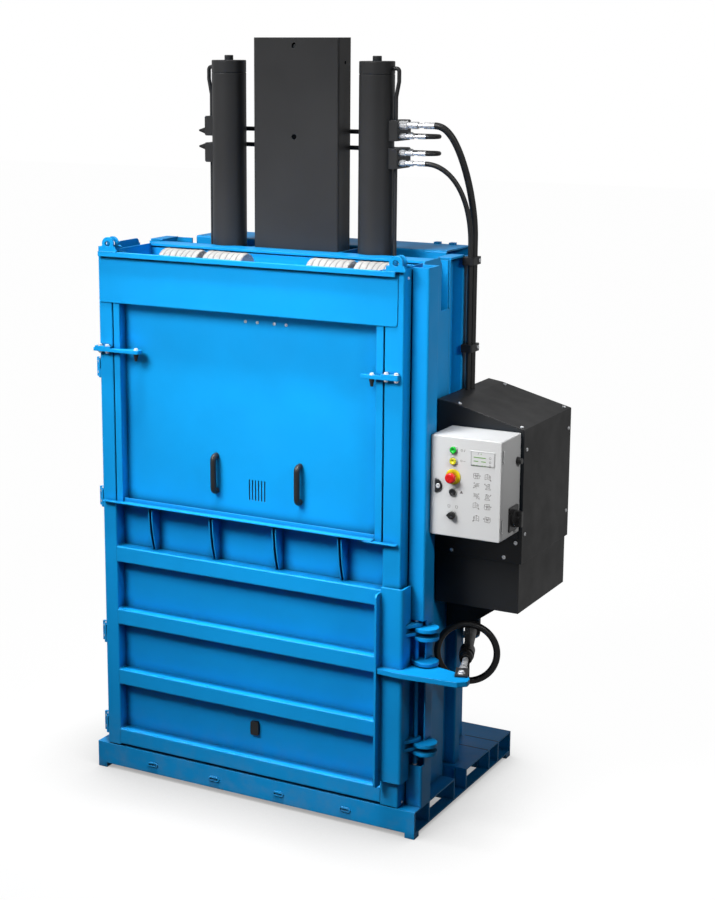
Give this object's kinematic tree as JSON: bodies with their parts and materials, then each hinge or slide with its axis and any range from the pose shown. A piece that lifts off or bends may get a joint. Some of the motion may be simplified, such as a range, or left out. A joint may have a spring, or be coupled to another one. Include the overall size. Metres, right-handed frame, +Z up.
{
  "type": "recycling baler",
  "caption": "Upright hydraulic recycling baler with a lift gate, swing clamp, twin cylinders and side power pack",
  "frame": {"origin": "on the floor below the axis of the press, at the centre foot pad", "axes": "X to the machine's right seen from the front, Y to its back, Z up along the press stroke"},
  "size_m": [1.828, 1.029, 3.066],
  "materials": {
    "paint_blue": "semi-gloss sky-blue powder coat",
    "paint_black": "satin black paint",
    "paint_grey": "light-grey powder coat",
    "zinc": "bright zinc plate",
    "chrome": "hard chrome",
    "rubber": "black hose rubber",
    "black_plastic": "matt black plastic",
    "strap": "white woven polyester strap",
    "display": "clear cover over a pale panel",
    "collar": "grey and yellow collars",
    "green": "green",
    "yellow": "yellow",
    "red": "red"
  },
  "bodies": {
    "machine": {"base_frame": "paint_blue", "chamber_floor": "paint_blue", "side_wall_left": "paint_blue", "side_wall_right": "paint_blue", "rear_wall": "paint_blue", "side_columns": "paint_blue", "corner_post": "paint_blue", "front_beam": "paint_blue", "rear_beam": "paint_blue", "roll_tray": "paint_blue", "strap_rolls": "strap", "guide_tower": "paint_black", "cylinder_barrels": "paint_black", "door_frame": "paint_blue", "door_panels": "paint_blue", "header_plate": "paint_blue", "lifting_lugs": "paint_blue", "guide_strips": "paint_blue", "strap_guide_ribs": "paint_blue", "hinge_leaves": "paint_blue", "hinge_pins": "zinc", "stop_brackets": "paint_blue", "stop_buffers": "rubber", "bolts": "zinc", "door_grip": "black_plastic", "clamp_pin": "paint_blue", "anchor_bracket": "paint_blue", "pack_cover": "paint_black", "oil_tank": "paint_black", "pump_motor": "paint_black", "pack_brackets": "paint_black", "control_box": "paint_grey", "main_switch_plate": "black_plastic", "cable_gland": "black_plastic", "manifold_blocks": "paint_black", "hydraulic_pipes": "paint_black", "hose_fittings": "zinc", "hydraulic_hoses": "rubber", "hose_clamps": "black_plastic"},
    "gate": {"gate_panel": "paint_blue", "gate_handles": "black_plastic", "gate_bolts": "zinc"},
    "press": {"press_plate": "paint_blue", "piston_rods": "chrome", "guide_mast": "paint_black"},
    "clamp": {"clamp_arm": "paint_blue"},
    "swivel": {"anchor_block": "paint_black"},
    "spindle": {"tension_spindle": "zinc", "clevis": "paint_black"},
    "wheel": {"handwheel": "black_plastic"},
    "control_lid": {"control_door": "paint_grey", "display_window": "display", "button_collars": "collar"},
    "green": {"green_button": "green"},
    "yellow": {"yellow_button": "yellow"},
    "black": {"black_button": "black_plastic"},
    "estop": {"emergency_stop": "red"},
    "selector": {"selector_knob": "black_plastic"},
    "lock": {"door_lock": "black_plastic"},
    "main_switch": {"main_switch_knob": "black_plastic"}
  },
  "joints": [
    {"name": "gate_slide", "type": "slide", "parent": "machine", "child": "gate", "axis": [0, 0, 1], "range_m": [0, 0.59]},
    {"name": "press_slide", "type": "slide", "parent": "machine", "child": "press", "axis": [0, 0, 1], "range_m": [-0.7, 0]},
    {"name": "clamp_hinge", "type": "hinge", "parent": "machine", "child": "clamp", "pos_m": [0.7265, -0.386, 0.686], "axis": [0, 0, 1], "range_deg": [0, 40]},
    {"name": "anchor_swivel", "type": "hinge", "parent": "machine", "child": "swivel", "pos_m": [0.722, 0.165, 0.686], "axis": [0, 0, 1], "range_deg": [0, 3.56]},
    {"name": "spindle_slide", "type": "slide", "parent": "swivel", "child": "spindle", "axis": [-0.3367, 0.9416, 0], "range_m": [0, 0.1385]},
    {"name": "wheel_spin", "type": "hinge", "parent": "swivel", "child": "wheel", "pos_m": [0.9305, -0.418, 0.686], "axis": [-0.3367, 0.9416, 0], "range_deg": [0, 4126]},
    {"name": "control_door_hinge", "type": "hinge", "parent": "machine", "child": "control_lid", "pos_m": [1.051, -0.3445, 1.411], "axis": [0, 0, 1], "range_deg": [0, 110]},
    {"name": "green_press", "type": "slide", "parent": "control_lid", "child": "green", "axis": [0, 1, 0], "range_m": [0, 0.004], "stiffness_N_per_m": 300},
    {"name": "yellow_press", "type": "slide", "parent": "control_lid", "child": "yellow", "axis": [0, 1, 0], "range_m": [0, 0.004], "stiffness_N_per_m": 300},
    {"name": "black_press", "type": "slide", "parent": "control_lid", "child": "black", "axis": [0, 1, 0], "range_m": [0, 0.004], "stiffness_N_per_m": 300},
    {"name": "stop_press", "type": "slide", "parent": "control_lid", "child": "estop", "axis": [0, 1, 0], "range_m": [0, 0.006], "stiffness_N_per_m": 300},
    {"name": "selector_turn", "type": "hinge", "parent": "control_lid", "child": "selector", "pos_m": [0.856, -0.361, 1.303], "axis": [0, -1, 0], "range_deg": [-45, 45]},
    {"name": "lock_turn", "type": "hinge", "parent": "control_lid", "child": "lock", "pos_m": [0.796, -0.361, 1.41], "axis": [0, -1, 0], "range_deg": [-90, 0]},
    {"name": "main_switch_turn", "type": "hinge", "parent": "machine", "child": "main_switch", "pos_m": [1.0485, -0.2375, 1.287], "axis": [1, 0, 0], "range_deg": [-90, 0]}
  ],
  "couplings": [
    {"joint": "clamp_hinge", "follows": "wheel_spin", "ratio": 0.0096946},
    {"joint": "spindle_slide", "follows": "wheel_spin", "m_per_rad": 0.0019098},
    {"joint": "anchor_swivel", "follows": "wheel_spin", "ratio": 0.00081435}
  ]
}
